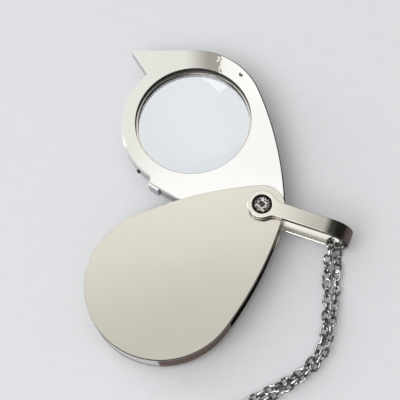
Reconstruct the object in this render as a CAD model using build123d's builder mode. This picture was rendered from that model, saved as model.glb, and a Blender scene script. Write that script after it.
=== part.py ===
"""Folding pocket hand lens on a fine cable chain.

A teardrop case of two flat plates holds a thick lens frame that swings out about one pivot. A U-shaped
bail turns on the same pivot, and a neck chain with a lobster clasp is looped round the bail's back arm.
Units are millimetres. The pivot axis is Z. The part lies on its back, on the foot of the pivot barrel.
"""
import os
from math import acos, atan2, cos, degrees, hypot, pi, radians, sin, sqrt, tan

from build123d import *

# ---------------------------------------------------------------- driving dimensions
# thicknesses, from the table upwards
FOOT_T = 1.1              # foot of the pivot barrel, under the bail's back eye
STRAP_T = 1.2             # bail strap
EYE_WASHER_T = 0.2        # washers between the bail's eyes and the case
PLATE_T = 0.8             # case plates
SLOT_WASHER_T = 0.25      # washers between the lens frame and the plates
FRAME_T = 4.2             # lens frame

# case outline: a small round end at the pivot, two long side arcs and a large round end
PIVOT_END_R = 5.2
FAR_END_R = 17.5
FAR_END_AT = 28.5         # distance from the pivot to the centre of the large end
SIDE_R = 85.0
RIM_T = 0.9               # wall that joins the two plates round the closed side
RIM_SETBACK = 0.15        # wall behind the edge of the plates
PLATE_EDGE = 0.15         # chamfer round the plates

# lens frame, along its own axis from the pivot through the lens
RING_AT = 27.3            # outside of the ring, on the side that closes first
RING_R = 17.25
TRAIL_AT = 29.1           # trailing side, a large end like the case's
TRAIL_R = 17.65
LENS_AT = 27.6
BORE_R = 13.7             # front opening, which the lens drops into
BEAK_TIP = (52.2, 1.3)    # thumb catch
BEAK_ROOT_SIDE = 1.8
HEEL_R = 27.05            # radius about the pivot where the wide heel ends
LUG_PROUD = 0.45          # small lug at the end of the heel
LUG_LENGTH = 2.6
FRAME_EDGE = 0.3          # bevel round the frame
DIMPLE_D = 1.2            # small dimple in the front face, near the trailing edge
DIMPLE_DEPTH = 0.3
DIMPLE_AT = (30.5, -16.0)
RIM_END_GAP = 0.4         # from the heel to the end of the rim wall when closed
CLOSED_LAG = 3.0          # degrees that the frame's axis stops short of the case axis when closed

# lens and its fixings
LENS_LAND_T = 0.7         # flat rim of the lens, as wide as the ledge that it lies on
LENS_LAND_W = 0.72
LENS_CURVE_R = 75.0       # both faces
LENS_BACK_DEPTH = 1.9     # from the frame's back face to the lens's rim
RETAINER_T = 0.6
RETAINER_W = 0.45
LENS_FIT = 0.08           # radial clearance round the lens
PRESS_GAP = 0.03          # radial clearance of pressed and screwed pieces

# bumper in the frame's side, which meets the rim wall when the lens is closed
BUMPER_D = 1.0
BUMPER_ANGLE = 95.0       # round the ring, from the frame's axis
BUMPER_UP = 0.9           # above the frame's back face
BUMPER_PROUD = 0.3

# pivot
BARREL_D = 3.2
JOURNAL_D = 3.8           # stepped part inside the bail's back eye
FOOT_D = 5.6
SCREW_D = 1.9
SCREW_LENGTH = 5.0
SCREW_END_GAP = 0.4
HEAD_D = 3.5
HEAD_T = 0.75
HEAD_LOBES = 8
LOBE_NOTCH_D = 0.6
SOCKET_D = 1.4
SOCKET_DEPTH = 0.5
RUN_CLEAR = 0.05          # clearance of everything that turns on the barrel
WASHER_D = 6.0

# bail
BAIL_REACH = 21.0         # from the pivot to the outside of the bend
BAIL_W = 3.6
BAIL_EYE_R = 3.35
BAIL_SHOULDER_R = 2.5     # between the eyes and the arms
BAIL_BEND_R = 4.4         # outside radius of the two bends
COUNTERBORE_D = 4.5
COUNTERBORE_DEPTH = 0.85

# rim dowels, blind in the plates, and their places round the centre of the large end
DOWEL_D = 0.5
DOWEL_IN_PLATE = 0.45
DOWEL_IN_RIM = 1.0
DOWEL_ANGLES = (18.0, 55.0, 92.0)

# directions in the XY plane, in degrees
CASE_DIR = 218.0
OPEN_TURN = 90.0          # from the closed lens back to the rest pose
BAIL_DIR = -21.0

# chain
CHAIN_D = 2.0             # outside width of the links, the diameter of the plain tube
FLAT_D = 1.0              # the links lie flat where they pass round the bail's arm
SPLIT_R = 21.3            # radius about the pivot inside which the chain moves with the bail
SPLIT_GAP = 0.3
TABLE_GAP = 0.02
COIL_MEAN_R = 11.0
COIL_WIDE = 3             # turns side by side
COIL_HIGH = 2             # turns on each other
COIL_BEVEL = 0.6
COIL_CENTRE = (-9.0, -64.0)
TIE_SUNK = 0.3            # the tie pinches the turns by this much
TIE_PROUD = 0.2           # and stands out of them by this much, but not underneath
TIE_W = 1.6
TIE_ANGLE = 300.0

# clasp, lying on the table, along its own axis from the eye in its tail
CLASP_T = 1.7
CLASP_TAIL_R = 0.8
CLASP_HEAD_R = 2.2
CLASP_HEAD_AT = 6.4
CLASP_SIDE_R = 40.0
CLASP_BACK_WALL = 0.95
CLASP_HOLE_NECK_R = 0.45
CLASP_HOLE_NECK_AT = 3.6
CLASP_Z = 0.15            # underside
CLASP_EYE_D = 0.95
CLASP_PIN_D = 0.6
CLASP_PIN_AT = (2.2, 0.3)
LEVER_T = 0.7
LEVER_CLEAR = 0.1
LEVER_ROOT_R = 0.75
LEVER_REACH = 4.75        # from the pin to the lever's tip
MOUTH_AT = 3.1            # start of the clasp's opening
NUB_D = 1.1
NUB_AT = (3.3, 1.75)      # thumb tab on the lever
RING_WIRE = 0.5
CLASP_RING_R = 1.45       # mean radius of the ring between chain and clasp
END_RING_R = 1.9          # mean radius of the ring at the chain's other end
END_RING_ANGLE = 200.0
CLASP_DIR = 207.0

# ---------------------------------------------------------------- levels
case_back = FOOT_T + STRAP_T + EYE_WASHER_T
slot_back = case_back + PLATE_T
frame_back = slot_back + SLOT_WASHER_T
frame_front = frame_back + FRAME_T
slot_front = frame_front + SLOT_WASHER_T
case_front = slot_front + PLATE_T
strap_front = case_front + EYE_WASHER_T
top = strap_front + STRAP_T
frame_mid = (frame_back + frame_front) / 2
barrel_top = top - COUNTERBORE_DEPTH + RUN_CLEAR

# ---------------------------------------------------------------- planes


def turned_plane(angle, origin=(0, 0, 0)):
    """Horizontal plane whose x direction lies at an angle in degrees."""
    return Plane(origin=origin, x_dir=(cos(radians(angle)), sin(radians(angle)), 0), z_dir=(0, 0, 1))


def polar(radius, angle, centre=(0.0, 0.0)):
    """Point at a radius and an angle in degrees from a centre."""
    return (centre[0] + radius * cos(radians(angle)), centre[1] + radius * sin(radians(angle)))


case_plane = turned_plane(CASE_DIR)
# the case's outline as it lies over the closed frame, turned back with the frame to the rest pose
closed_plane = turned_plane(CASE_DIR - OPEN_TURN)
frame_plane = turned_plane(CASE_DIR - OPEN_TURN - CLOSED_LAG)
bail_plane = turned_plane(BAIL_DIR)
running_hole_d = BARREL_D + 2 * RUN_CLEAR


def teardrop(small, large, large_at, side):
    """Closed outline of four tangent arcs along +x, the small end about the origin."""
    to_small, to_large = side - small, side - large
    side_x = (to_small**2 - to_large**2 + large_at**2) / (2 * large_at)
    side_y = sqrt(to_small**2 - side_x**2)
    small_turn = degrees(atan2(side_y, -side_x))
    large_turn = degrees(atan2(side_y, large_at - side_x))
    near = polar(small, small_turn)
    far = polar(large, large_turn, (large_at, 0))
    middle = polar(side, (small_turn + large_turn) / 2, (side_x, -side_y))
    ThreePointArc(near, middle, far)
    ThreePointArc(far, (large_at + large, 0), (far[0], -far[1]))
    ThreePointArc((far[0], -far[1]), (middle[0], -middle[1]), (near[0], -near[1]))
    ThreePointArc((near[0], -near[1]), (-small, 0), near)


def case_outline(grow=0.0):
    """The case's outline, grown outwards by a distance."""
    teardrop(PIVOT_END_R + grow, FAR_END_R + grow, FAR_END_AT, SIDE_R + grow)


def half_plane(side):
    """Mask that leaves the +y side or the -y side of a sketch of the case or the frame."""
    with Locations((FAR_END_AT, side * 2 * FAR_END_R)):
        Rectangle(6 * FAR_END_R, 4 * FAR_END_R, mode=Mode.INTERSECT)


# ---------------------------------------------------------------- case
def case_plate(label, level, dowel_face, dowel_way):
    """One plate with its pivot hole and the blind holes of the dowels."""
    with BuildPart() as plate:
        with BuildSketch(case_plane.offset(level)):
            with BuildLine():
                case_outline()
            make_face()
        extrude(amount=PLATE_T)
        chamfer(plate.faces().filter_by(Axis.Z).edges(), length=PLATE_EDGE)
        with BuildSketch(case_plane.offset(level)):
            Circle(BARREL_D / 2 + PRESS_GAP)
        extrude(amount=PLATE_T, mode=Mode.SUBTRACT)
        with BuildSketch(case_plane.offset(dowel_face)):
            for angle in DOWEL_ANGLES:
                with Locations(polar(dowel_ring_r, angle, (FAR_END_AT, 0))):
                    Circle(DOWEL_D / 2 + PRESS_GAP)
        extrude(amount=dowel_way * DOWEL_IN_PLATE, mode=Mode.SUBTRACT)
    plate.part.label = label
    return plate


rim_outer_r = FAR_END_R - RIM_SETBACK
rim_inner_r = rim_outer_r - RIM_T
dowel_ring_r = (rim_outer_r + rim_inner_r) / 2
case_back_plate = case_plate("case_back_plate", case_back, slot_back, -1)
case_front_plate = case_plate("case_front_plate", slot_front, slot_front, 1)

with BuildPart() as case_rim_wall:
    with BuildSketch(case_plane.offset(slot_back)):
        with Locations((FAR_END_AT, 0)):
            Circle(rim_outer_r)
            Circle(rim_inner_r, mode=Mode.SUBTRACT)
        half_plane(1)
        Circle(HEEL_R + RIM_END_GAP, mode=Mode.SUBTRACT)
    extrude(amount=slot_front - slot_back)
    for level, way in ((slot_back, 1), (slot_front, -1)):
        with BuildSketch(case_plane.offset(level)):
            for angle in DOWEL_ANGLES:
                with Locations(polar(dowel_ring_r, angle, (FAR_END_AT, 0))):
                    Circle(DOWEL_D / 2 + PRESS_GAP)
        extrude(amount=way * DOWEL_IN_RIM, mode=Mode.SUBTRACT)
case_rim_wall.part.label = "case_rim_wall"

with BuildPart() as rim_dowels:
    for level in (slot_back - DOWEL_IN_PLATE, slot_front - DOWEL_IN_RIM):
        with BuildSketch(case_plane.offset(level)):
            for angle in DOWEL_ANGLES:
                with Locations(polar(dowel_ring_r, angle, (FAR_END_AT, 0))):
                    Circle(DOWEL_D / 2)
        extrude(amount=DOWEL_IN_PLATE + DOWEL_IN_RIM)
rim_dowels.part.label = "rim_dowels"

# ---------------------------------------------------------------- lens frame
ring_root = (RING_AT + sqrt(RING_R**2 - BEAK_ROOT_SIDE**2), BEAK_ROOT_SIDE)
# the thumb catch's long edge is tangent to the frame's trailing end
tip_distance = hypot(BEAK_TIP[0] - TRAIL_AT, BEAK_TIP[1])
tip_angle = degrees(atan2(BEAK_TIP[1], BEAK_TIP[0] - TRAIL_AT))
beak_tangent = polar(TRAIL_R, tip_angle - degrees(acos(TRAIL_R / tip_distance)), (TRAIL_AT, 0))
# the thumb catch runs on inside the ring, as far as the bore
beak_edge = Vector(*ring_root) - Vector(*BEAK_TIP)
beak_inner = Vector(*ring_root) + beak_edge.normalized() * (RING_R - BORE_R)


def bevelled_slab(profile):
    """Upper half of the frame's thickness over a profile, bevelled round its top."""
    with BuildPart() as slab:
        add(profile.sketch)
        extrude(amount=FRAME_T / 2)
        chamfer(slab.faces().sort_by(Axis.Z)[-1].edges(), length=FRAME_EDGE)
    return slab


# the frame's outline in pieces that overlap inside it, along its own axis or, for the heel, along the case's
with BuildSketch() as ring_profile:
    with BuildLine():
        teardrop(PIVOT_END_R, RING_R, RING_AT, SIDE_R)
    make_face()
with BuildSketch() as trailing_profile:
    with BuildLine():
        teardrop(PIVOT_END_R, TRAIL_R, TRAIL_AT, SIDE_R)
    make_face()
    half_plane(-1)
    with BuildLine():
        Polyline(BEAK_TIP, beak_inner, (-PIVOT_END_R, 0), (TRAIL_AT, 0), beak_tangent, close=True)
    make_face()
with BuildSketch() as heel_profile:
    with BuildLine():
        case_outline()
    make_face()
    half_plane(1)
    Circle(HEEL_R, mode=Mode.INTERSECT)
with BuildSketch() as lug_profile:
    with BuildLine():
        case_outline(LUG_PROUD)
    make_face()
    half_plane(1)
    Circle(HEEL_R, mode=Mode.INTERSECT)
    Circle(HEEL_R - LUG_LENGTH, mode=Mode.SUBTRACT)

lens_back = frame_back + LENS_BACK_DEPTH
lens_front = lens_back + LENS_LAND_T
lens_r = BORE_R - LENS_FIT
ledge_r = lens_r - LENS_LAND_W
lens_centre = frame_plane.from_local_coords(Vector(LENS_AT, 0, 0))
lens_axis = Axis(lens_centre, (0, 0, 1))
# the bumper lies square to the ring, in a blind hole half through the frame's side
bumper_depth = (RING_R - BORE_R) / 2
bumper_way = turned_plane(CASE_DIR - OPEN_TURN - CLOSED_LAG + BUMPER_ANGLE).x_dir
ring_centre = frame_plane.from_local_coords(Vector(RING_AT, 0, frame_back + BUMPER_UP))
bumper_plane = Plane(origin=ring_centre + bumper_way * (RING_R - bumper_depth), z_dir=bumper_way)

with BuildPart() as frame_blank:
    # the ring's slab covers the others' inner bevels, and stops inside the trailing side
    add(bevelled_slab(ring_profile).part)
    split(bisect_by=Plane.XZ.offset(2 * FRAME_EDGE), keep=Keep.BOTTOM)
    add(bevelled_slab(trailing_profile).part)
    add(bevelled_slab(heel_profile).part, rotation=(0, 0, CLOSED_LAG))
    mirror(about=Plane.XY)

with BuildPart() as lens_frame:
    with Locations(frame_plane.offset(frame_mid)):
        add(frame_blank.part)
    with BuildSketch(closed_plane.offset(frame_back + FRAME_EDGE)):
        add(lug_profile.sketch)
    extrude(amount=FRAME_T - 2 * FRAME_EDGE)
    for level, radius in ((frame_back, ledge_r), (lens_back, BORE_R)):
        with BuildSketch(frame_plane.offset(level)):
            with Locations((LENS_AT, 0)):
                Circle(radius)
        extrude(until=Until.LAST, mode=Mode.SUBTRACT)
    with BuildSketch(frame_plane.offset(frame_back)):
        Circle(running_hole_d / 2)
    extrude(amount=FRAME_T, mode=Mode.SUBTRACT)
    with BuildSketch(bumper_plane):
        Circle(BUMPER_D / 2)
    extrude(amount=bumper_depth + BUMPER_PROUD, mode=Mode.SUBTRACT)
    with BuildSketch(frame_plane.offset(frame_front)):
        with Locations(DIMPLE_AT):
            Circle(DIMPLE_D / 2)
    extrude(amount=-DIMPLE_DEPTH, mode=Mode.SUBTRACT)
lens_frame.part.label = "lens_frame"

bulge = LENS_CURVE_R - sqrt(LENS_CURVE_R**2 - ledge_r**2)
half_bulge = bulge - LENS_CURVE_R + sqrt(LENS_CURVE_R**2 - ledge_r**2 / 4)
# upright plane through the lens axis, its x along the frame and its y upwards
lens_section = Plane(
    origin=lens_centre,
    x_dir=frame_plane.x_dir,
    z_dir=frame_plane.x_dir.cross(Vector(0, 0, 1)),
)
with BuildPart() as lens:
    with BuildSketch(lens_section):
        with BuildLine():
            ThreePointArc((0, lens_front + bulge), (ledge_r / 2, lens_front + half_bulge), (ledge_r, lens_front))
            Polyline((ledge_r, lens_front), (lens_r, lens_front), (lens_r, lens_back), (ledge_r, lens_back))
            ThreePointArc((ledge_r, lens_back), (ledge_r / 2, lens_back - half_bulge), (0, lens_back - bulge))
            Line((0, lens_back - bulge), (0, lens_front + bulge))
        make_face()
    revolve(axis=lens_axis)
lens.part.label = "lens"

with BuildPart() as lens_retaining_ring:
    with BuildSketch(frame_plane.offset(lens_front)):
        with Locations((LENS_AT, 0)):
            Circle(BORE_R - PRESS_GAP)
            Circle(BORE_R - PRESS_GAP - RETAINER_W, mode=Mode.SUBTRACT)
    extrude(amount=RETAINER_T)
lens_retaining_ring.part.label = "lens_retaining_ring"

with BuildPart() as closing_bumper:
    with BuildSketch(bumper_plane):
        Circle(BUMPER_D / 2)
    extrude(amount=bumper_depth + BUMPER_PROUD)
closing_bumper.part.label = "closing_bumper"

# ---------------------------------------------------------------- pivot
with BuildPart() as pivot_barrel:
    with BuildSketch():
        Circle(FOOT_D / 2)
    extrude(amount=FOOT_T)
    chamfer(pivot_barrel.faces().sort_by(Axis.Z)[0].edges(), length=FOOT_T / 3)
    with BuildSketch(Plane.XY.offset(FOOT_T)):
        Circle(JOURNAL_D / 2)
    extrude(amount=case_back - FOOT_T)
    with BuildSketch(Plane.XY.offset(case_back)):
        Circle(BARREL_D / 2)
    extrude(amount=barrel_top - case_back)
    with BuildSketch(Plane.XY.offset(barrel_top)):
        Circle(SCREW_D / 2 + PRESS_GAP)
    extrude(amount=-SCREW_LENGTH - SCREW_END_GAP, mode=Mode.SUBTRACT)
pivot_barrel.part.label = "pivot_barrel"

with BuildPart() as pivot_screw:
    with BuildSketch(Plane.XY.offset(barrel_top)):
        Circle(SCREW_D / 2)
    extrude(amount=-SCREW_LENGTH)
    with BuildSketch(Plane.XY.offset(barrel_top)):
        Circle(HEAD_D / 2)
        with PolarLocations(HEAD_D / 2, HEAD_LOBES):
            Circle(LOBE_NOTCH_D / 2, mode=Mode.SUBTRACT)
    extrude(amount=HEAD_T)
    with BuildSketch(Plane.XY.offset(barrel_top + HEAD_T)):
        Circle(SOCKET_D / 2)
    extrude(amount=-SOCKET_DEPTH, mode=Mode.SUBTRACT)
pivot_screw.part.label = "pivot_screw"


def washer_pair(label, back_level, front_level, thickness, hole_d):
    """Two equal washers on the barrel."""
    with BuildPart() as pair:
        for level in (back_level, front_level):
            with BuildSketch(Plane.XY.offset(level)):
                Circle(WASHER_D / 2)
                Circle(hole_d / 2, mode=Mode.SUBTRACT)
            extrude(amount=thickness)
    pair.part.label = label
    return pair


slot_washers = washer_pair("slot_washers", slot_back, frame_front, SLOT_WASHER_T, running_hole_d)
bail_washers = washer_pair(
    "bail_washers", case_back - EYE_WASHER_T, case_front, EYE_WASHER_T, JOURNAL_D + 2 * RUN_CLEAR
)

# ---------------------------------------------------------------- bail
bail_section = Plane(origin=(0, 0, 0), x_dir=bail_plane.x_dir, z_dir=bail_plane.x_dir.cross(Vector(0, 0, 1)))
inner_reach = BAIL_REACH - STRAP_T
strap_back = FOOT_T + STRAP_T

with BuildSketch() as eye_plan:
    with Locations((BAIL_EYE_R, 0)):
        Rectangle(2 * BAIL_EYE_R, BAIL_W)
    Circle(BAIL_EYE_R)
    fillet(eye_plan.vertices().filter_by(lambda v: 0 < v.X < BAIL_EYE_R), radius=BAIL_SHOULDER_R)

with BuildPart() as bail:
    with BuildSketch(bail_section):
        with BuildLine():
            FilletPolyline((0, FOOT_T), (BAIL_REACH, FOOT_T), (BAIL_REACH, top), (0, top), radius=BAIL_BEND_R)
            Line((0, top), (0, strap_front))
            FilletPolyline(
                (0, strap_front),
                (inner_reach, strap_front),
                (inner_reach, strap_back),
                (0, strap_back),
                radius=BAIL_BEND_R - STRAP_T,
            )
            Line((0, strap_back), (0, FOOT_T))
        make_face()
    extrude(amount=BAIL_W / 2, both=True)
    for level in (FOOT_T, strap_front):
        with BuildSketch(bail_plane.offset(level)):
            add(eye_plan.sketch)
        extrude(amount=STRAP_T)
    with BuildSketch(bail_plane.offset(FOOT_T)):
        Circle(JOURNAL_D / 2 + RUN_CLEAR)
    extrude(amount=STRAP_T, mode=Mode.SUBTRACT)
    with BuildSketch(bail_plane.offset(strap_front)):
        Circle(BARREL_D / 2 + RUN_CLEAR)
    extrude(amount=STRAP_T, mode=Mode.SUBTRACT)
    with BuildSketch(bail_plane.offset(top)):
        Circle(COUNTERBORE_D / 2)
    extrude(amount=-COUNTERBORE_DEPTH, mode=Mode.SUBTRACT)
bail.part.label = "bail"

# ---------------------------------------------------------------- chain


def path_radii(points):
    """Radius of the arc at each corner of a route: 0.45 of the shorter run over the tangent of half the turn."""
    radii = []
    for before, corner, after in zip(points, points[1:], points[2:]):
        arriving = Vector(*corner) - Vector(*before)
        leaving = Vector(*after) - Vector(*corner)
        half_turn = radians(arriving.get_angle(leaving) / 2)
        radii.append(0.45 * min(arriving.length, leaving.length) / tan(half_turn))
    return radii


def chain_tube(label, points, diameter, plane=Plane.XY):
    """Plain round tube along straight runs joined by tangent arcs."""
    radii = path_radii(points)
    with BuildPart() as tube:
        with BuildLine(plane) as route:
            FilletPolyline(*points, radius=radii)
        path = route.wire()
        with BuildSketch(Plane(origin=path @ 0, z_dir=path % 0)):
            Circle(diameter / 2)
        sweep(path=path)
    section = pi * diameter**2 / 4
    print(
        f"{label}: length {path.length:.1f}, radii {[round(r, 1) for r in radii]},",
        f"volume over section times length {tube.part.volume / section / path.length:.4f}",
    )
    return tube


chain_z = TABLE_GAP + CHAIN_D / 2
flat_z = TABLE_GAP + FLAT_D / 2
over_arm_z = strap_back + FLAT_D / 2
# along the bail, across it and up: over the back arm's inner face, round its far edge and back underneath
loop_route = [
    (19.3, -11.2, chain_z),
    (18.3, -7.6, chain_z),
    (17.4, -4.7, 2.2),
    (16.9, -2.3, over_arm_z + 0.35),
    (16.75, 0.4, over_arm_z + 0.2),
    (16.95, 2.9, over_arm_z - 0.05),
    (17.2, 3.0, flat_z),
    (17.9, 0.5, flat_z - 0.01),
    (18.8, -2.3, flat_z),
    (19.8, -5.6, 0.8),
    (20.8, -8.8, chain_z),
]
left_route = [
    (14.05, -15.3),
    (13.4, -19.6),
    (12.6, -23.9),
    (10.9, -28.0),
    (8.0, -31.6),
    (4.4, -34.6),
    (0.6, -37.4),
    (-3.4, -40.4),
    (-7.6, -43.6),
    (-12.1, -46.4),
    (-16.9, -49.3),
]
right_route = [
    (16.4, -13.4),
    (16.0, -17.6),
    (15.4, -21.8),
    (14.2, -26.3),
    (11.9, -30.6),
    (8.6, -34.2),
    (4.8, -37.2),
    (0.9, -40.0),
    (-3.1, -43.3),
    (-7.0, -46.7),
    (-11.0, -49.7),
    (-15.5, -51.8),
]

coil_width = CHAIN_D * COIL_WIDE
coil_height = CHAIN_D * COIL_HIGH
coil_outer_r = COIL_MEAN_R + coil_width / 2
coil_inner_r = COIL_MEAN_R - coil_width / 2
with BuildPart() as coil_ring:
    with BuildSketch(Plane.XY.offset(TABLE_GAP)):
        with Locations(COIL_CENTRE):
            Circle(coil_outer_r)
            Circle(coil_inner_r, mode=Mode.SUBTRACT)
    extrude(amount=coil_height)
    chamfer(coil_ring.edges().filter_by(GeomType.CIRCLE), length=COIL_BEVEL)

# the tie is a flat band round the turns, level with them underneath
tie_plane = turned_plane(TIE_ANGLE, (*COIL_CENTRE, TABLE_GAP))
tie_section = Plane(origin=tie_plane.origin, x_dir=tie_plane.x_dir, z_dir=tie_plane.x_dir.cross(Vector(0, 0, 1)))
with BuildPart() as chain_tie:
    with BuildSketch(tie_section):
        with Locations((COIL_MEAN_R, (coil_height + TIE_PROUD) / 2)):
            Rectangle(coil_width + 2 * TIE_PROUD, coil_height + TIE_PROUD)
        with Locations((COIL_MEAN_R, coil_height / 2)):
            Rectangle(coil_width - 2 * TIE_SUNK, coil_height - 2 * TIE_SUNK, mode=Mode.SUBTRACT)
    extrude(amount=TIE_W / 2, both=True)
chain_tie.part.label = "chain_tie"

with BuildPart() as chain_coil:
    add(coil_ring.part)
    add(chain_tie.part, mode=Mode.SUBTRACT)
chain_coil.part.label = "chain_coil"

with BuildPart() as moving_zone:
    with BuildSketch(Plane.XY.offset(-CHAIN_D)):
        Circle(SPLIT_R)
    extrude(amount=top + 2 * CHAIN_D)
with BuildPart() as still_zone:
    with BuildSketch(Plane.XY.offset(-CHAIN_D)):
        Circle(SPLIT_R + SPLIT_GAP)
    extrude(amount=top + 2 * CHAIN_D)

loop_tube = chain_tube("chain_bail_loop", loop_route, FLAT_D, bail_plane)
with BuildPart() as chain_bail_loop:
    add(loop_tube.part)
    add(moving_zone.part, mode=Mode.INTERSECT)
chain_bail_loop.part.label = "chain_bail_loop"

clasp_plane = turned_plane(CLASP_DIR, (left_route[-1][0], left_route[-1][1], 0))
# the ring lies flat through the clasp's eye, and the clasp starts where the chain ends
ring_at = CLASP_RING_R - RING_WIRE / 2
clasp_origin = clasp_plane.from_local_coords(Vector(ring_at + CLASP_RING_R, 0, 0))
clasp_plane = turned_plane(CLASP_DIR, (clasp_origin.X, clasp_origin.Y, 0))
clasp_mid = CLASP_Z + CLASP_T / 2


def flat_ring(label, centre, mean_r):
    """Ring of round wire that lies level with the clasp's eye."""
    with BuildPart() as ring:
        with BuildSketch(Plane(origin=centre, x_dir=(1, 0, 0), z_dir=(0, 1, 0))):
            with Locations((mean_r, 0)):
                Circle(RING_WIRE / 2)
        revolve(axis=Axis(centre, (0, 0, 1)))
    ring.part.label = label
    return ring


# the ring's wire passes through the middle of the eye
eye_sagitta = CLASP_RING_R - sqrt(CLASP_RING_R**2 - CLASP_TAIL_R**2)
clasp_ring_centre = clasp_plane.from_local_coords(Vector(eye_sagitta / 2 - CLASP_RING_R, 0, clasp_mid))
clasp_ring = flat_ring("clasp_ring", clasp_ring_centre, CLASP_RING_R)

with BuildPart() as chain_strand_left:
    add(chain_tube("chain_strand_left", [(x, y, chain_z) for x, y in left_route], CHAIN_D).part)
    add(still_zone.part, mode=Mode.SUBTRACT)
    add(clasp_ring.part, mode=Mode.SUBTRACT)
chain_strand_left.part.label = "chain_strand_left"

with BuildPart() as chain_strand_right:
    add(chain_tube("chain_strand_right", [(x, y, chain_z) for x, y in right_route], CHAIN_D).part)
    add(still_zone.part, mode=Mode.SUBTRACT)
    add(coil_ring.part, mode=Mode.SUBTRACT)
chain_strand_right.part.label = "chain_strand_right"

end_ring_at = polar(coil_inner_r - END_RING_R - RING_WIRE, END_RING_ANGLE, COIL_CENTRE)
end_ring = flat_ring("end_ring", Vector(*end_ring_at, TABLE_GAP + RING_WIRE / 2), END_RING_R)

# ---------------------------------------------------------------- clasp
with BuildSketch() as clasp_solid_profile:
    with BuildLine():
        teardrop(CLASP_TAIL_R, CLASP_HEAD_R, CLASP_HEAD_AT, CLASP_SIDE_R)
    make_face()
with BuildSketch() as clasp_hole_profile:
    with Locations((CLASP_HEAD_AT, 0)):
        Circle(CLASP_HEAD_R - CLASP_BACK_WALL)
    with Locations((CLASP_HOLE_NECK_AT, 0)):
        Circle(CLASP_HOLE_NECK_R)
    make_hull()
# the piece of the wall that opens: from the mouth to the lever's reach about the pin
with BuildSketch() as mouth_profile:
    with Locations(CLASP_PIN_AT):
        Circle(LEVER_REACH + LEVER_CLEAR)
    with Locations((MOUTH_AT + CLASP_HEAD_AT, CLASP_HEAD_AT + CLASP_PIN_AT[1])):
        Rectangle(2 * CLASP_HEAD_AT, 2 * CLASP_HEAD_AT, mode=Mode.INTERSECT)

with BuildPart() as clasp_body:
    with BuildSketch(clasp_plane.offset(CLASP_Z)):
        add(clasp_solid_profile.sketch)
        add(clasp_hole_profile.sketch, mode=Mode.SUBTRACT)
        add(mouth_profile.sketch, mode=Mode.SUBTRACT)
    extrude(amount=CLASP_T)
    # slot for the lever's root
    with BuildSketch(clasp_plane.offset(clasp_mid - LEVER_T / 2 - LEVER_CLEAR)):
        with Locations(CLASP_PIN_AT):
            Circle(LEVER_ROOT_R + LEVER_CLEAR)
        with Locations((CLASP_PIN_AT[0] + CLASP_HEAD_AT / 2, CLASP_PIN_AT[1] + CLASP_HEAD_R / 2)):
            Rectangle(CLASP_HEAD_AT, CLASP_HEAD_R + 2 * (LEVER_ROOT_R + LEVER_CLEAR))
        with Locations((MOUTH_AT, 0)):
            Rectangle(2 * CLASP_HEAD_R, 2 * CLASP_HEAD_R, mode=Mode.INTERSECT)
    extrude(amount=LEVER_T + 2 * LEVER_CLEAR, mode=Mode.SUBTRACT)
    with BuildSketch(clasp_plane.offset(CLASP_Z)):
        with Locations(CLASP_PIN_AT):
            Circle(CLASP_PIN_D / 2 + PRESS_GAP)
    extrude(amount=CLASP_T, mode=Mode.SUBTRACT)
    eye_plane = Plane(
        origin=clasp_plane.from_local_coords(Vector(0, 0, clasp_mid)),
        x_dir=clasp_plane.x_dir,
        z_dir=clasp_plane.y_dir,
    )
    with BuildSketch(eye_plane):
        Circle(CLASP_EYE_D / 2)
    extrude(amount=2 * CLASP_TAIL_R, both=True, mode=Mode.SUBTRACT)
clasp_body.part.label = "clasp_body"

with BuildPart() as clasp_lever:
    with BuildSketch(clasp_plane.offset(clasp_mid - LEVER_T / 2)):
        add(clasp_solid_profile.sketch)
        add(clasp_hole_profile.sketch, mode=Mode.SUBTRACT)
        with Locations(CLASP_PIN_AT):
            Circle(LEVER_REACH, mode=Mode.INTERSECT)
        with Locations((CLASP_PIN_AT[0] + CLASP_HEAD_AT, CLASP_HEAD_AT + CLASP_PIN_AT[1])):
            Rectangle(2 * CLASP_HEAD_AT, 2 * CLASP_HEAD_AT, mode=Mode.INTERSECT)
        with Locations(CLASP_PIN_AT):
            Circle(LEVER_ROOT_R)
        with Locations(NUB_AT):
            Circle(NUB_D / 2)
        with Locations(CLASP_PIN_AT):
            Circle(CLASP_PIN_D / 2 + RUN_CLEAR, mode=Mode.SUBTRACT)
    extrude(amount=LEVER_T)
clasp_lever.part.label = "clasp_lever"

with BuildPart() as clasp_pin:
    with BuildSketch(clasp_plane.offset(CLASP_Z)):
        with Locations(CLASP_PIN_AT):
            Circle(CLASP_PIN_D / 2)
    extrude(amount=CLASP_T)
clasp_pin.part.label = "clasp_pin"

# ---------------------------------------------------------------- export
pieces = [
    case_back_plate, case_front_plate, case_rim_wall, rim_dowels,
    lens_frame, lens, lens_retaining_ring, closing_bumper,
    pivot_barrel, pivot_screw, slot_washers, bail_washers, bail,
    chain_bail_loop, chain_strand_left, chain_strand_right, chain_coil, chain_tie,
    clasp_ring, clasp_body, clasp_lever, clasp_pin, end_ring,
]
os.makedirs("parts", exist_ok=True)
for piece in pieces:
    print(piece.part.label, round(piece.part.volume, 2), len(piece.part.solids()), piece.part.is_valid)
    export_step(piece.part, f"parts/{piece.part.label}.step")
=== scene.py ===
"""Looks of a folding hand lens on a neck chain: camera, chain, details, materials and light."""
from math import cos, pi, radians, sin, sqrt

import bmesh
import bpy
import numpy as np
from mathutils import Matrix, Vector


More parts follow.
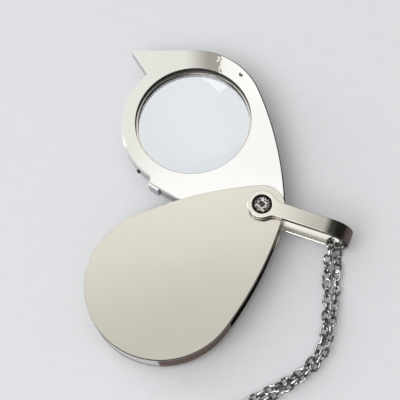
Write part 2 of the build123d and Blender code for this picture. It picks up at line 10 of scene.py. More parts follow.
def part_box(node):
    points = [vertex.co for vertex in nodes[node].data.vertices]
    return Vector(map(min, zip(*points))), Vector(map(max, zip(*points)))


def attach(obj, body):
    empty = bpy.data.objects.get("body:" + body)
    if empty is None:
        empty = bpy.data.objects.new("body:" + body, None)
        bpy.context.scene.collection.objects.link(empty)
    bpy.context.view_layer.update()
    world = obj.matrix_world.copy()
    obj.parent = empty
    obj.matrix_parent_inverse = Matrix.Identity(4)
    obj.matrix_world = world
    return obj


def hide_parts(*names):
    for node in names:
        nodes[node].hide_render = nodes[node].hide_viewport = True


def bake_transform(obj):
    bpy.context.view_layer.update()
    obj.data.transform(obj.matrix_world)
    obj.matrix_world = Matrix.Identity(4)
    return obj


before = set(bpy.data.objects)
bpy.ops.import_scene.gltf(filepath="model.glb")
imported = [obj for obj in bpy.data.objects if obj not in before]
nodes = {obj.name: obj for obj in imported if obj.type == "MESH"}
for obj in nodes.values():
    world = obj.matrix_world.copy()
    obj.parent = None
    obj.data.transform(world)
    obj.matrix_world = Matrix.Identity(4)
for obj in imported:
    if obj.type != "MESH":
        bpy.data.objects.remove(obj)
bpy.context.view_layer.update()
scene = bpy.context.scene
MM = 0.001

# ---------------------------------------------------------------- places in the CAD's frame
CASE_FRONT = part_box("case_front_plate")[1].z
RING_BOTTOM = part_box("lens_retaining_ring")[0].z
BAIL_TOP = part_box("bail")[1].z
lens_low, lens_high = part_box("lens")
LENS_CENTRE = (lens_low + lens_high) / 2
LENS_RADIUS = (lens_high.x - lens_low.x) / 2
PIVOT = (0, 0)
UP = (0, 0, 1)
BAIL_DIR = radians(-21.0)      # level directions from the pivot
FRAME_DIR = radians(125.0)
BAIL_AHEAD = (cos(BAIL_DIR), sin(BAIL_DIR), 0)


# ---------------------------------------------------------------- objects and lines
def new_object(name, data):
    obj = bpy.data.objects.new(name, data)
    scene.collection.objects.link(obj)
    return obj


def mesh_object(name, points, faces):
    mesh = bpy.data.meshes.new(name)
    mesh.from_pydata(points, [], faces)
    mesh.update()
    for polygon in mesh.polygons:
        polygon.use_smooth = True
    return new_object(name, mesh)


ROUTE_RESOLUTION = 16          # points to each control point of a route
ROUTE_ORDER = 3


def route_line(points):
    """Points read from a NURBS spline whose control points are the given route, in metres."""
    curve = bpy.data.curves.new("route", "CURVE")
    curve.dimensions = "3D"
    spline = curve.splines.new("NURBS")
    spline.points.add(len(points) - 1)
    for control, point in zip(spline.points, points):
        control.co = (*point, 1.0)
    spline.order_u = ROUTE_ORDER
    spline.use_endpoint_u = True
    spline.resolution_u = ROUTE_RESOLUTION
    holder = new_object("route", curve)
    mesh = bpy.data.meshes.new_from_object(holder)
    line = np.array([vertex.co for vertex in mesh.vertices])
    bpy.data.objects.remove(holder)
    return line


def sample_line(line, step):
    """Places at an equal pitch along a polyline, the directions there, and the line's length."""
    pieces = np.linalg.norm(np.diff(line, axis=0), axis=1)
    reached = np.concatenate([[0], np.cumsum(pieces)])
    length = reached[-1]
    count = max(int(round(length / step)), 1)
    stops = (np.arange(count) + 0.5) * length / count

    def at(distances):
        return np.stack([np.interp(distances, reached, line[:, k]) for k in range(3)], axis=1)

    ways = at(stops + step / 4) - at(stops - step / 4)
    ways /= np.linalg.norm(ways, axis=1)[:, None]
    return at(stops), ways, length


# ---------------------------------------------------------------- camera
VIEW_TARGET = Vector((-14.1, 1.9, CASE_FRONT / MM)) * MM
VIEW_DISTANCE = 250 * MM
VIEW_TILT = radians(21.6)
VIEW_SIDE = radians(4.0)
FOCAL_LENGTH = 99.0            # in mm, as the sensor
SENSOR_WIDTH = 36.0
CLIP_START = 10 * MM


def make_camera():
    data = bpy.data.cameras.new("camera")
    data.sensor_width = SENSOR_WIDTH
    data.lens = FOCAL_LENGTH
    data.dof.use_dof = False
    data.clip_start = CLIP_START
    camera = new_object("camera", data)
    back = Vector((
        sin(VIEW_SIDE),
        -sin(VIEW_TILT) * cos(VIEW_SIDE),
        cos(VIEW_TILT) * cos(VIEW_SIDE),
    )).normalized()
    right = Vector((0, 1, 0)).cross(back).normalized()
    up = back.cross(right)
    place = Matrix((right, up, back)).transposed().to_4x4()
    place.translation = VIEW_TARGET + back * VIEW_DISTANCE
    camera.matrix_world = place
    scene.camera = camera


make_camera()

# ---------------------------------------------------------------- chain links
CHAIN_D = 2.0 * MM
WIRE = 0.5 * MM
LINK_PITCH = 1.85 * MM
LINK_LENGTH = LINK_PITCH + 2 * WIRE
LINK_WIDTH = 2.1 * MM
LINK_AROUND = 20               # points round a link, and round its wire
LINK_SECTION = 8
FLAT_TURN = 12.0               # degrees that a lying link leans, and a standing one
UPRIGHT_TURN = -76.0
TURN_SPREAD = 6.0
LOW_LINE = 0.5 * MM            # below this links only lie, above the next every other one stands
FREE_LINE = 0.95 * MM
STEEP = 0.05                   # a line with a smaller level share than this runs straight down


def link_mesh():
    """Points and faces of an oval link about the origin, long in x and flat in the xy plane."""
    radius = (LINK_WIDTH - WIRE) / 2
    straight = (LINK_LENGTH - LINK_WIDTH) / 2
    points, faces = [], []
    for i in range(LINK_AROUND):
        turn = 2 * pi * i / LINK_AROUND
        shift = straight if cos(turn) > 0 else -straight
        centre = Vector((radius * cos(turn) + shift, radius * sin(turn), 0))
        outward = Vector((cos(turn), sin(turn), 0))
        here = i * LINK_SECTION
        there = (i + 1) % LINK_AROUND * LINK_SECTION
        for j in range(LINK_SECTION):
            roll = 2 * pi * j / LINK_SECTION
            rise = Vector((0, 0, WIRE / 2 * sin(roll)))
            points.append(centre + outward * (WIRE / 2 * cos(roll)) + rise)
            after = (j + 1) % LINK_SECTION
            faces.append((here + j, here + after, there + after, there + j))
    return points, faces


LINK_POINTS, LINK_FACES = link_mesh()


def make_chain(name, line, seed):
    """Oval links along a line, lying and standing by turns, and all lying where the line is low.

    Gives the piece and the line's length.
    """
    random = np.random.default_rng(seed)
    points, faces = [], []
    places, ways, length = sample_line(line, LINK_PITCH)
    for number, (place, way) in enumerate(zip(places, ways)):
        way = Vector(way)
        side = Vector(UP).cross(way)
        if side.length < STEEP:
            side = Vector((1, 0, 0))
        side.normalize()
        up = way.cross(side)
        room = min(max((place[2] - LOW_LINE) / (FREE_LINE - LOW_LINE), 0.0), 1.0)
        stands = number % 2
        turn = UPRIGHT_TURN * room - FLAT_TURN * (1 - room) if stands else FLAT_TURN
        turn = radians(turn + random.uniform(-TURN_SPREAD, TURN_SPREAD) * room)
        across = side * cos(turn) + up * sin(turn)
        normal = way.cross(across)
        base = len(points)
        for x, y, z in LINK_POINTS:
            points.append(tuple(Vector(place) + way * x + across * y + normal * z))
        faces += [tuple(base + k for k in face) for face in LINK_FACES]
    return mesh_object(name, points, faces), length


# ---------------------------------------------------------------- chain routes, in millimetres
CHAIN_Z = 1.02                 # middle of a strand that lies on the table
LEFT_ROUTE = [
    (14.05, -15.3),
    (13.95, -18.0),
    (13.85, -21.0),
    (13.5, -24.6),
    (12.6, -29.2),
    (11.2, -32.4),
    (9.1, -35.0),
    (6.6, -37.0),
    (3.9, -38.5),
    (1.0, -39.9),
    (-1.4, -41.1),
    (-4.2, -42.6),
    (-8.3, -44.8),
    (-12.6, -47.1),
    (-16.9, -49.3),
]
# half on top of the left strand in the middle of its way
RIGHT_ROUTE = [
    (16.4, -13.4),
    (16.2, -16.3),
    (15.75, -19.5, 1.3),
    (15.15, -23.0, 1.9),
    (14.6, -26.5, 2.15),
    (13.7, -30.3, 2.2),
    (12.2, -33.5, 2.2),
    (9.9, -36.2, 2.15),
    (7.1, -38.3, 2.05),
    (4.3, -40.0, 1.8),
    (1.3, -41.6, 1.35),
    (-2.0, -43.5),
    (-6.9, -46.9),
    (-11.0, -49.7),
]
# along the bail, across it and up: from the left strand over the back arm, then back under it to
# the right strand
LOOP_ROUTE = [
    (18.6, -9.25, CHAIN_Z),
    (17.9, -7.3, CHAIN_Z),
    (17.3, -4.7, 2.2),
    (16.9, -2.3, 3.3),
    (16.75, 0.4, 3.2),
    (16.95, 2.9, 2.75),
    (17.2, 3.0, 0.52),
    (17.9, 0.5, 0.51),
    (18.8, -2.3, 0.52),
    (19.6, -4.6, 0.75),
    (20.1, -6.63, CHAIN_Z),
]
COIL_CENTRE = (-9.0, -64.0)
COIL_RADII = (13.0, 11.0, 9.0)
COIL_POINTS = 14               # to a turn
COIL_START = 118.0             # degrees
COIL_STEP_OVER = 0.75          # share of a turn from which it moves on to the next radius


def coil_route():
    """Three turns inwards on the table, then three outwards on top of them."""
    points = []
    angle = COIL_START
    step = 360 / COIL_POINTS
    for layer, radii in enumerate((COIL_RADII, COIL_RADII[::-1])):
        z = CHAIN_Z + layer * CHAIN_D / MM
        for k, radius in enumerate(radii):
            after = radii[k + 1] if k + 1 < len(radii) else radius
            for n in range(COIL_POINTS):
                over = max(0.0, (n / COIL_POINTS - COIL_STEP_OVER) / (1 - COIL_STEP_OVER))
                r = radius + (after - radius) * over
                points.append((
                    COIL_CENTRE[0] + r * cos(radians(angle)),
                    COIL_CENTRE[1] + r * sin(radians(angle)),
                    z,
                ))
                angle += step
    return points


def in_metres(points):
    return [(p[0] * MM, p[1] * MM, (p[2] if len(p) > 2 else CHAIN_Z) * MM) for p in points]


def from_bail(points):
    """The bail's own coordinates in millimetres to the CAD's frame in metres."""
    c, s = cos(BAIL_DIR), sin(BAIL_DIR)
    return [((u * c - v * s) * MM, (u * s + v * c) * MM, z * MM) for u, v, z in points]


left_line = route_line(in_metres(LEFT_ROUTE))
right_line = route_line(in_metres(RIGHT_ROUTE) + in_metres(coil_route()))
loop_line = route_line(from_bail(LOOP_ROUTE))

chain_left, left_length = make_chain("chain_left", left_line, seed=11)
chain_right, right_length = make_chain("chain_right", right_line, seed=12)
chain_loop, _ = make_chain("chain_loop", loop_line, seed=13)

# the strands lie still where they are, each with the CAD pieces that it takes the place of
STRANDS = (
    (chain_left, ["chain_strand_left"]),
    (chain_right, ["chain_strand_right", "chain_coil"]),
)
for piece, cad in STRANDS:
    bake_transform(piece)
    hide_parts(*cad)
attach(chain_loop, "bail")
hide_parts("chain_bail_loop")

# ---------------------------------------------------------------- pieces with rounded edges
MERGE_DISTANCE = 0.001 * MM
COPLANAR_ANGLE = radians(1.0)  # faces that meet at less are one flat face
ROUNDED_ANGLE = radians(32.0)  # edges that turn more are rounded
SHADED_ANGLE = radians(50)     # edges that turn less are shaded smoothly
ROUNDED_SEGMENTS = 2


def rounded_copy(name, source, body, width):
    """The CAD piece with its sharp edges rounded, in the place of the plain one."""
    mesh = nodes[source].data.copy()
    mesh.name = name
    shape = bmesh.new()
    shape.from_mesh(mesh)
    bmesh.ops.remove_doubles(shape, verts=shape.verts, dist=MERGE_DISTANCE)
    bmesh.ops.dissolve_limit(
        shape, angle_limit=COPLANAR_ANGLE, verts=shape.verts, edges=shape.edges,
    )
    edges = [
        edge for edge in shape.edges
        if len(edge.link_faces) == 2 and edge.calc_face_angle(0.0) > ROUNDED_ANGLE
    ]
    bmesh.ops.bevel(
        shape, geom=edges, offset=width, offset_type="OFFSET", segments=ROUNDED_SEGMENTS,
        profile=0.5, affect="EDGES", clamp_overlap=False,
    )
    for face in shape.faces:
        face.smooth = True
    for edge in shape.edges:
        edge.smooth = len(edge.link_faces) == 2 and edge.calc_face_angle(0.0) < SHADED_ANGLE
    shape.to_mesh(mesh)
    shape.free()
    copy = new_object(name, mesh)
    weights = copy.modifiers.new("weights", "WEIGHTED_NORMAL")
    weights.keep_sharp = True
    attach(copy, body)
    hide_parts(source)
    return copy


bail_strap = rounded_copy("bail_strap", "bail", "bail", 0.2 * MM)
clasp_body = rounded_copy("clasp_shell", "clasp_body", "case", 0.22 * MM)
clasp_lever = rounded_copy(
    "clasp_trigger", "clasp_lever", "clasp_lever", 0.12 * MM,
)
chain_tie = rounded_copy("tie_band", "chain_tie", "case", 0.08 * MM)
screw_head = rounded_copy("pivot_head", "pivot_screw", "case", 0.08 * MM)

LENS_AROUND = 96               # points round the lens, and rings of them on each curved face
LENS_RINGS = 14
LENS_LAND = 0.72 * MM          # flat border of each face
LENS_EDGE = 0.7 * MM           # thickness at that border
LENS_CURVE_R = 75 * MM
LENS_SHADED_ANGLE = radians(8)


def make_lens():
    """The lens turned smoothly about its axis: two curved faces inside a flat border."""
    curved = LENS_RADIUS - LENS_LAND
    sphere_at_land = sqrt(LENS_CURVE_R**2 - curved**2)
    profile = []
    for k in range(1, LENS_RINGS + 1):
        r = curved * k / LENS_RINGS
        profile.append((r, LENS_EDGE / 2 + sqrt(LENS_CURVE_R**2 - r**2) - sphere_at_land))
    profile.append((LENS_RADIUS, LENS_EDGE / 2))
    outline = profile + [(r, -z) for r, z in reversed(profile)]
    crown = LENS_EDGE / 2 + LENS_CURVE_R - sphere_at_land
    x, y, middle = LENS_CENTRE
    points = [(x, y, middle + crown), (x, y, middle - crown)]
    for r, z in outline:
        for n in range(LENS_AROUND):
            turn = 2 * pi * n / LENS_AROUND
            points.append((x + r * cos(turn), y + r * sin(turn), middle + z))
    faces = []
    last = 2 + (len(outline) - 1) * LENS_AROUND
    for n in range(LENS_AROUND):
        m = (n + 1) % LENS_AROUND
        faces.append((0, 2 + n, 2 + m))
        faces.append((1, last + m, last + n))
        for k in range(len(outline) - 1):
            a, b = 2 + k * LENS_AROUND, 2 + (k + 1) * LENS_AROUND
            faces.append((a + n, b + n, b + m, a + m))
    lens = mesh_object("lens_glass", points, faces)
    shape = bmesh.new()
    shape.from_mesh(lens.data)
    for edge in shape.edges:
        edge.smooth = len(edge.link_faces) < 2 or edge.calc_face_angle(0.0) < LENS_SHADED_ANGLE
    shape.to_mesh(lens.data)
    shape.free()
    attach(lens, "lens_arm")
    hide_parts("lens")
    return lens


lens_glass = make_lens()


# ---------------------------------------------------------------- nodes of a material
def shader(name):
    material = bpy.data.materials.new(name)
    material.use_nodes = True
    tree = material.node_tree
    return material, tree, tree.nodes["Principled BSDF"]


def node(tree, kind, **settings):
    made = tree.nodes.new(kind)
    for key, value in settings.items():
        if key in made.inputs:
            made.inputs[key].default_value = value
        else:
            setattr(made, key, value)
    return made


def surface(tree, kind):
    """Each surface point's place or normal: Object, Generated or Normal."""
    return node(tree, "ShaderNodeTexCoord").outputs[kind]


def maths(tree, operation, first, second=None):
    made = node(tree, "ShaderNodeMath", operation=operation)
    for socket, value in zip(made.inputs, (first, second)):
        if value is None:
            continue
        if isinstance(value, (int, float)):
            socket.default_value = value
        else:
            tree.links.new(value, socket)
    return made.outputs[0]


def times(tree, first, second):
    return maths(tree, "MULTIPLY", first, second)


def ease(tree, value, low, high):
    """0 below low, 1 above high, smooth between. low may be above high."""
    made = node(tree, "ShaderNodeMapRange", interpolation_type="SMOOTHSTEP")
    tree.links.new(value, made.inputs["Value"])
    flip = low > high
    made.inputs["From Min"].default_value = min(low, high)
    made.inputs["From Max"].default_value = max(low, high)
    made.inputs["To Min"].default_value = 1.0 if flip else 0.0
    made.inputs["To Max"].default_value = 0.0 if flip else 1.0
    return made.outputs["Result"]


def spread(tree, value, low, high):
    """The value, which runs from 0 to 1, made to run from low to high."""
    made = node(tree, "ShaderNodeMapRange")
    made.inputs["To Min"].default_value = low
    made.inputs["To Max"].default_value = high
    tree.links.new(value, made.inputs["Value"])
    return made.outputs["Result"]


def dot(tree, vector, way):
    made = node(tree, "ShaderNodeVectorMath", operation="DOT_PRODUCT")
    tree.links.new(vector, made.inputs[0])
    made.inputs[1].default_value = way
    return made.outputs["Value"]


def along(tree, place, turn, low, high):
    """Share of the way from low to high, in metres, along a level direction."""
    return ease(tree, dot(tree, place, (cos(turn), sin(turn), 0)), low, high)


def away(tree, place, centre):
    """Level distance from an upright axis."""
    shift = node(tree, "ShaderNodeVectorMath", operation="SUBTRACT")
    tree.links.new(place, shift.inputs[0])
    shift.inputs[1].default_value = (centre[0], centre[1], 0)
    flat = node(tree, "ShaderNodeVectorMath", operation="MULTIPLY")
    tree.links.new(shift.outputs[0], flat.inputs[0])
    flat.inputs[1].default_value = (1, 1, 0)
    size = node(tree, "ShaderNodeVectorMath", operation="LENGTH")
    tree.links.new(flat.outputs[0], size.inputs[0])
    return size.outputs["Value"]


def part(tree, place, axis):
    """One of a place's three numbers."""
    split = node(tree, "ShaderNodeSeparateXYZ")
    tree.links.new(place, split.inputs[0])
    return split.outputs[axis]


def blended(tree, factor, first, second):
    """Colour between two colours or colour sockets."""
    made = node(tree, "ShaderNodeMix", data_type="RGBA")
    tree.links.new(factor, made.inputs["Factor"])
    for key, value in (("A", first), ("B", second)):
        socket = next(x for x in made.inputs if x.name == key and x.type == "RGBA")
        if isinstance(value, tuple):
            socket.default_value = (*value, 1)
        else:
            tree.links.new(value, socket)
    return next(x for x in made.outputs if x.type == "RGBA")


def facing(tree, way, low, high):
    """Share of the way from low to high of the surface normal's part along a direction."""
    return ease(tree, dot(tree, surface(tree, "Normal"), way), low, high)


def wall_band(tree):
    """1 on an upright wall, 0 on level faces and bevels."""
    rise = dot(tree, surface(tree, "Normal"), UP)
    return ease(tree, maths(tree, "ABSOLUTE", rise), 0.5, 0.3)


def bevel_band(tree):
    """1 on a bevel between a level face and an upright wall, 0 on both of those."""
    return times(tree, facing(tree, UP, 0.5, 0.6), facing(tree, UP, 0.9, 0.8))


def noise(tree, place, scale, detail=3.0):
    made = node(tree, "ShaderNodeTexNoise", Scale=scale, Detail=detail)
    tree.links.new(place, made.inputs["Vector"])
    return made.outputs["Fac"]


HAIR_SCALE = 900.0
HAIR_SQUEEZE = 9.0


def hairlines(tree, place, turn):
    """Noise squeezed across one level direction into fine lines."""
    mapping = node(tree, "ShaderNodeMapping")
    tree.links.new(place, mapping.inputs["Vector"])
    mapping.inputs["Rotation"].default_value = (0, 0, turn)
    mapping.inputs["Scale"].default_value = (1, HAIR_SQUEEZE, 1)
    return noise(tree, mapping.outputs["Vector"], HAIR_SCALE, 2.0)


BUMP_DISTANCE = 0.1 * MM


def bumped(tree, principled, height, strength):
    raised = node(tree, "ShaderNodeBump", Strength=strength, Distance=BUMP_DISTANCE)
    tree.links.new(height, raised.inputs["Height"])
    tree.links.new(raised.outputs["Normal"], principled.inputs["Normal"])


# ---------------------------------------------------------------- kinds of material
HAIR_BUMP = 0.015
HAIR_COLOUR = (0.4, 0.39, 0.36)
HAIR_SHARE = 0.12
HANDLED_COLOUR = (0.45, 0.43, 0.38)
HANDLED_SHARE = 0.10
# dark coat colour: black on the lens frame's bore, painted shade in hollows, painted dark
# reflection round the bail's bend
BLACK_COAT_AND_SHADE = (0.012, 0.010, 0.009)
COAT_ROUGHNESS = 0.7
GLASS_COLOUR = (0.985, 0.995, 1.0)
GLASS_IOR = 1.5
GLASS_ROUGHNESS = (0.0, 0.03)


def polished(name, paint_rule, rough=(0.08, 0.16), cloud=70.0, hair_turn=0.6, coat_rule=None,
             coat=BLACK_COAT_AND_SHADE):
    """Polished metal with clouds of handling and fine hairlines in its colour and gloss.

    paint_rule is its colour, or a function of (tree, place) that gives it. coat_rule(tree, place)
    is 1 where a dull dark coat covers the metal; on most pieces that coat is painted shade.
    """
    material, tree, principled = shader(name)
    place = surface(tree, "Object")
    principled.inputs["Metallic"].default_value = 1.0
    clouds = noise(tree, place, cloud, 4.0)
    lines = hairlines(tree, place, hair_turn)
    if isinstance(paint_rule, tuple):
        colour = blended(tree, clouds, tuple(c * 0.97 for c in paint_rule), paint_rule)
    else:
        colour = paint_rule(tree, place)
    handled = times(tree, ease(tree, clouds, 0.35, 0.7), HANDLED_SHARE)
    colour = blended(tree, handled, colour, HANDLED_COLOUR)
    scored = times(tree, ease(tree, lines, 0.62, 0.78), HAIR_SHARE)
    colour = blended(tree, scored, colour, HAIR_COLOUR)
    roughness = spread(tree, clouds, *rough)
    if coat_rule:
        covered = coat_rule(tree, place)
        bare = maths(tree, "SUBTRACT", 1.0, covered)
        tree.links.new(bare, principled.inputs["Metallic"])
        colour = blended(tree, covered, colour, coat)
        roughness = maths(
            tree, "ADD", times(tree, roughness, bare), times(tree, covered, COAT_ROUGHNESS),
        )
    tree.links.new(colour, principled.inputs["Base Color"])
    tree.links.new(roughness, principled.inputs["Roughness"])
    bumped(tree, principled, lines, HAIR_BUMP)
    return material


def glass(name):
    material, tree, principled = shader(name)
    principled.inputs["Base Color"].default_value = (*GLASS_COLOUR, 1)
    principled.inputs["Transmission Weight"].default_value = 1.0
    principled.inputs["IOR"].default_value = GLASS_IOR
    smears = noise(tree, surface(tree, "Object"), 45.0)
    tree.links.new(spread(tree, smears, *GLASS_ROUGHNESS), principled.inputs["Roughness"])
    return material


def plain(name, colour, roughness, grain=900.0, bump=0.1):
    """One colour with a fine grain."""
    material, tree, principled = shader(name)
    fine = noise(tree, surface(tree, "Object"), grain)
    bumped(tree, principled, fine, bump)
    grained = blended(tree, fine, tuple(c * 0.94 for c in colour), colour)
    tree.links.new(grained, principled.inputs["Base Color"])
    principled.inputs["Roughness"].default_value = roughness
    return material


# ---------------------------------------------------------------- colours piece by piece
def plate_paint(tree, place):
    """Warm steel, with painted shade towards the reader, on the walls and on a bevel at the lower
    right.
    """
    pale, deep = (0.765, 0.735, 0.65), (0.555, 0.535, 0.465)
    wall, shade_edge = (0.15, 0.125, 0.105), (0.12, 0.10, 0.085)
    steel = blended(tree, along(tree, place, radians(-80), -8 * MM, 29 * MM), pale, deep)
    steel = blended(tree, wall_band(tree), steel, wall)
    edge = times(tree, bevel_band(tree), facing(tree, (0.62, -0.78, 0), -0.1, 0.25))
    return blended(tree, edge, steel, shade_edge)


def back_plate_paint(tree, place):
    """Warm steel, with the rim's colours and painted reflection on its walls and painted light on
    the right wall.
    """
    face, lit_right_wall = (0.66, 0.635, 0.56), (0.62, 0.61, 0.55)
    right = along(tree, place, 0.0, -18 * MM, -12 * MM)
    wall = blended(tree, right, rim_paint(tree, place), lit_right_wall)
    return blended(tree, wall_band(tree), face, wall)


def frame_point(ahead, aside):
    """Point of the lens frame's own axis, given in millimetres, in metres."""
    c, s = cos(FRAME_DIR), sin(FRAME_DIR)
    return ((ahead * c - aside * s) * MM, (ahead * s + aside * c) * MM)


DIMPLE = frame_point(30.5, -16.0)


def in_bore(tree, place):
    """1 on the lens frame's bore and ledge."""
    return ease(tree, away(tree, place, LENS_CENTRE), 13.78 * MM, 13.73 * MM)


def dark_reflection_patch(tree, place):
    """A painted dark reflection at the top of the lens frame, ragged on its right."""
    x, y = part(tree, place, "X"), part(tree, place, "Y")
    ragged = times(tree, noise(tree, place, 900.0, 5.0), 7 * MM)
    patch = ease(tree, maths(tree, "ADD", x, ragged), -5.7 * MM, -6.2 * MM)
    patch = times(tree, patch, ease(tree, x, -18.5 * MM, -11.5 * MM))
    patch = times(tree, patch, ease(tree, y, 30 * MM, 33 * MM))
    return times(tree, patch, 0.95)


def frame_paint(tree, place):
    """Bright steel painted darker to the left, with a painted dark reflection patch, painted
    shade on the grey walls and the trailing edge, and painted highlights on the bevels.
    """
    left, right, dark_reflection = (0.80, 0.80, 0.735), (0.985, 0.98, 0.95), (0.33, 0.31, 0.27)
    wall, bright, dark = (0.38, 0.385, 0.40), (1.0, 1.0, 0.98), (0.05, 0.045, 0.035)
    ledge = (0.86, 0.87, 0.88)
    steel = blended(tree, along(tree, place, radians(-30), -36 * MM, -22 * MM), left, right)
    steel = blended(tree, dark_reflection_patch(tree, place), steel, dark_reflection)
    steel = blended(tree, wall_band(tree), steel, wall)
    bevel = bevel_band(tree)
    steel = blended(tree, bevel, steel, bright)
    shaded_trailing_edge = times(tree, bevel, facing(tree, (0.94, 0.34, 0), 0.2, 0.5))
    steel = blended(tree, shaded_trailing_edge, steel, dark)
    return blended(tree, in_bore(tree, place), steel, ledge)


def frame_coat(tree, place):
    """Black on the bore's wall above its ledge, and painted shade, dark grey, in the dimple."""
    z = part(tree, place, "Z")
    bore = times(tree, in_bore(tree, place), ease(tree, z, RING_BOTTOM - 0.05 * MM, RING_BOTTOM))
    dimple_shade = ease(tree, away(tree, place, DIMPLE), 0.50 * MM, 0.40 * MM)
    return maths(tree, "MAXIMUM", bore, times(tree, dimple_shade, 0.85))


def ring_paint(tree, place):
    """Light on top and dark down its inner wall."""
    top, wall = (0.72, 0.69, 0.64), (0.06, 0.055, 0.05)
    return blended(tree, wall_band(tree), top, wall)


def bail_paint(tree, place):
    """Painted light and shade: bright at the eye and inside, darker along the front arm, a
    painted reflection black then brown round the bend, and painted shade on the front arm's
    reader-side edge."""
    eye, arm = (0.82, 0.79, 0.71), (0.46, 0.44, 0.385)
    dark_bend_reflection, bend_reflection = (0.02, 0.02, 0.014), (0.24, 0.155, 0.14)
    painted_light_inside, shade_edge = (1.0, 0.99, 0.93), (0.07, 0.06, 0.05)
    z = part(tree, place, "Z")
    steel = blended(tree, along(tree, place, BAIL_DIR, 0.0, 17 * MM), eye, arm)
    reach = along(tree, place, BAIL_DIR, 14.4 * MM, 16.4 * MM)
    steel = blended(tree, reach, steel, dark_bend_reflection)
    steel = blended(tree, facing(tree, BAIL_AHEAD, 0.55, 0.85), steel, bend_reflection)
    low = ease(tree, z, BAIL_TOP - 0.1 * MM, BAIL_TOP - 0.3 * MM)
    inner = times(tree, low, facing(tree, BAIL_AHEAD, 0.05, -0.02))
    steel = blended(tree, inner, steel, painted_light_inside)
    edge = times(tree, facing(tree, (0, -1, 0), 0.25, 0.55), ease(tree, z, 5 * MM, 6 * MM))
    return blended(tree, edge, steel, shade_edge)


def bail_coat(tree, place):
    """Painted shade in the screw's well and a painted dark reflection round the bend."""
    z = part(tree, place, "Z")
    low = ease(tree, z, BAIL_TOP - 0.05 * MM, BAIL_TOP - 0.2 * MM)
    well_shade = times(tree, low, ease(tree, away(tree, place, PIVOT), 2.32 * MM, 2.27 * MM))
    bend_reflection = facing(tree, BAIL_AHEAD, 0.5, 0.85)
    return maths(tree, "MAXIMUM", well_shade, times(tree, bend_reflection, 0.55))


def painted_reflection_part(tree, place):
    """0 on the left of the case's lower end, 1 further round where the reflection is painted."""
    return along(tree, place, 0.0, -23.9 * MM, -22.9 * MM)


def rim_paint(tree, place):
    """Light grey on the left of the lower end, and a painted reflection in darker warm grey
    further round.
    """
    grey, reflected_brown, cloud = (0.76, 0.76, 0.755), (0.17, 0.095, 0.07), (0.12, 0.075, 0.06)
    steel = blended(tree, painted_reflection_part(tree, place), grey, reflected_brown)
    return blended(tree, times(tree, noise(tree, place, 160.0), 0.3), steel, cloud)


def rim_coat(tree, place):
    """Dull coat on the walls of the painted reflection's dark part."""
    return times(tree, painted_reflection_part(tree, place), times(tree, wall_band(tree), 0.7))


def chain_coat(tree, place):
    """Painted shade in patches, thinner on top of the wire than down its sides."""
    top = times(tree, facing(tree, UP, 0.50, 0.92), 0.85)
    clear = times(tree, ease(tree, noise(tree, place, 800.0, 2.0), 0.47, 0.56), 0.92)
    bare = times(tree, maths(tree, "ADD", top, 0.15), maths(tree, "ADD", clear, 0.08))
    return maths(tree, "SUBTRACT", 1.0, bare)


def screw_paint(tree, place):
    """Turned steel, brighter and darker in patches."""
    dark, bright = (0.16, 0.145, 0.125), (0.86, 0.84, 0.78)
    return blended(tree, ease(tree, noise(tree, place, 1500.0), 0.42, 0.6), dark, bright)


SCREW_LOBES = 8


def screw_coat(tree, place):
    """Painted shade: black in the socket and in the notches between the lobes."""
    radius = away(tree, place, PIVOT)
    socket_shade = ease(tree, radius, 0.74 * MM, 0.68 * MM)
    x, y = part(tree, place, "X"), part(tree, place, "Y")
    turn = maths(tree, "ARCTAN2", y, x)
    wave = maths(tree, "COSINE", times(tree, turn, float(SCREW_LOBES)))
    notch_shade = times(tree, ease(tree, wave, -0.35, -0.75), ease(tree, radius, 0.95 * MM, 1.2 * MM))
    return maths(tree, "MAXIMUM", times(tree, socket_shade, 0.8), times(tree, notch_shade, 0.9))


STEEL_COLOUR = (0.62, 0.60, 0.57)
SILVER_COLOUR = (0.93, 0.91, 0.88)
CLASP_COLOUR = (0.80, 0.78, 0.75)
BRASS_COLOUR = (0.72, 0.56, 0.30)
RUBBER_COLOUR = (0.02, 0.02, 0.02)
TIE_COLOUR = (0.75, 0.75, 0.72)
# colour of the painted reflection's dull coat on the rim's walls
REFLECTION_BROWN_COAT = (0.09, 0.045, 0.032)
# painted shade on the chain's wire
CHAIN_SHADE = (0.006, 0.005, 0.004)

PLATE = polished("plate_steel", plate_paint)
FRAME = polished("frame_steel", frame_paint, hair_turn=-0.9, coat_rule=frame_coat)
BAIL = polished(
    "bail_steel", bail_paint, rough=(0.10, 0.18), hair_turn=-BAIL_DIR, coat_rule=bail_coat,
)
RIM = polished("rim_steel", rim_paint, rough=(0.18, 0.28), coat_rule=rim_coat, coat=REFLECTION_BROWN_COAT)
BACK_PLATE = polished("back_plate_steel", back_plate_paint)
SATIN = polished("satin_steel", STEEL_COLOUR, rough=(0.22, 0.34), cloud=200.0)
SCREW = polished(
    "screw_steel", screw_paint, rough=(0.16, 0.30), cloud=600.0, coat_rule=screw_coat,
)
RING = polished("ring_steel", ring_paint, rough=(0.16, 0.24), cloud=200.0)
CHAIN = polished(
    "chain_silver", SILVER_COLOUR, rough=(0.08, 0.20), cloud=500.0, coat_rule=chain_coat,
    coat=CHAIN_SHADE,
)
CLASP = polished("clasp_silver", CLASP_COLOUR, rough=(0.08, 0.20), cloud=500.0)
BRASS = polished("washer_brass", BRASS_COLOUR, rough=(0.22, 0.32))
GLASS = glass("lens_glass")
RUBBER = plain("bumper_rubber", RUBBER_COLOUR, 0.6)
TIE = plain("tie_plastic", TIE_COLOUR, 0.5)


def paint(obj, material):
    obj.data.materials.clear()
    obj.data.materials.append(material)


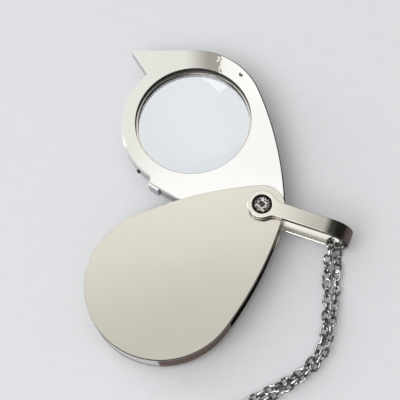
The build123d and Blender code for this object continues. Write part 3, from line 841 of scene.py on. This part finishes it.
for piece, material in (
    (chain_left, CHAIN),
    (chain_right, CHAIN),
    (chain_loop, CHAIN),
    (clasp_body, CLASP),
    (clasp_lever, CLASP),
    (bail_strap, BAIL),
    (chain_tie, TIE),
    (screw_head, SCREW),
    (lens_glass, GLASS),
    (nodes["case_back_plate"], BACK_PLATE),
    (nodes["case_front_plate"], PLATE),
    (nodes["case_rim_wall"], RIM),
    (nodes["rim_dowels"], SATIN),
    (nodes["lens_frame"], FRAME),
    (nodes["lens_retaining_ring"], RING),
    (nodes["closing_bumper"], RUBBER),
    (nodes["pivot_barrel"], SATIN),
    (nodes["slot_washers"], BRASS),
    (nodes["bail_washers"], BRASS),
    (nodes["clasp_ring"], CLASP),
    (nodes["clasp_pin"], SATIN),
    (nodes["end_ring"], CLASP),
):
    paint(piece, material)

# ---------------------------------------------------------------- floor and light
FLOOR_COLOUR = (0.71, 0.72, 0.745)
BACKGROUND_COLOUR = (0.76, 0.79, 0.82)
FLOOR_HALF = 3.0               # in metres, as all lengths here
FLOOR_Z = -0.2 * MM
WORLD_AXIS = (-0.55, 0.15, 0.80)
WORLD_STOPS = (
    (0.0, (0.32, 0.31, 0.30)),
    (0.42, (0.38, 0.37, 0.355)),
    (0.60, (0.68, 0.67, 0.65)),
    (0.72, (1.0, 1.0, 1.0)),
)


def make_floor():
    s = FLOOR_HALF
    floor = mesh_object("floor", [(-s, -s, 0), (s, -s, 0), (s, s, 0), (-s, s, 0)], [(0, 1, 2, 3)])
    floor.location.z = FLOOR_Z
    material = plain("floor_card", FLOOR_COLOUR, 0.9, grain=300.0, bump=0.02)
    tree = material.node_tree
    # through the lens the floor shows as the pale background that it is elsewhere
    glow = node(tree, "ShaderNodeEmission", Color=(*BACKGROUND_COLOUR, 1), Strength=1.0)
    shown = node(tree, "ShaderNodeMixShader")
    seen_through = node(tree, "ShaderNodeLightPath").outputs["Is Transmission Ray"]
    tree.links.new(seen_through, shown.inputs[0])
    tree.links.new(tree.nodes["Principled BSDF"].outputs[0], shown.inputs[1])
    tree.links.new(glow.outputs[0], shown.inputs[2])
    tree.links.new(shown.outputs[0], tree.nodes["Material Output"].inputs["Surface"])
    paint(floor, material)


def make_world():
    """A pale soft sky, darker and warmer low down on the right and in front."""
    world = bpy.data.worlds.new("studio")
    scene.world = world
    world.use_nodes = True
    tree = world.node_tree
    ramp = node(tree, "ShaderNodeValToRGB")
    tree.links.new(dot(tree, surface(tree, "Generated"), WORLD_AXIS), ramp.inputs["Fac"])
    elements = ramp.color_ramp.elements
    while len(elements) < len(WORLD_STOPS):
        elements.new(0.5)
    for element, (position, colour) in zip(elements, WORLD_STOPS):
        element.position = position
        element.color = (*colour, 1)
    background = tree.nodes["Background"]
    tree.links.new(ramp.outputs["Color"], background.inputs["Color"])
    background.inputs["Strength"].default_value = 1.0


def area_light(name, place, size, power):
    """A square light that looks at the middle of the picture, in metres and watts."""
    data = bpy.data.lights.new(name, "AREA")
    data.size = size
    data.energy = power
    light = new_object(name, data)
    light.location = place
    light.rotation_euler = (VIEW_TARGET - Vector(place)).to_track_quat("-Z", "Y").to_euler()


make_floor()
make_world()
area_light("key", place=(-0.45, -0.45, 1.0), size=0.8, power=6.5)
area_light("left_fill", place=(-1.0, 0.35, 0.22), size=0.5, power=2.0)
scene.view_settings.view_transform = "Standard"
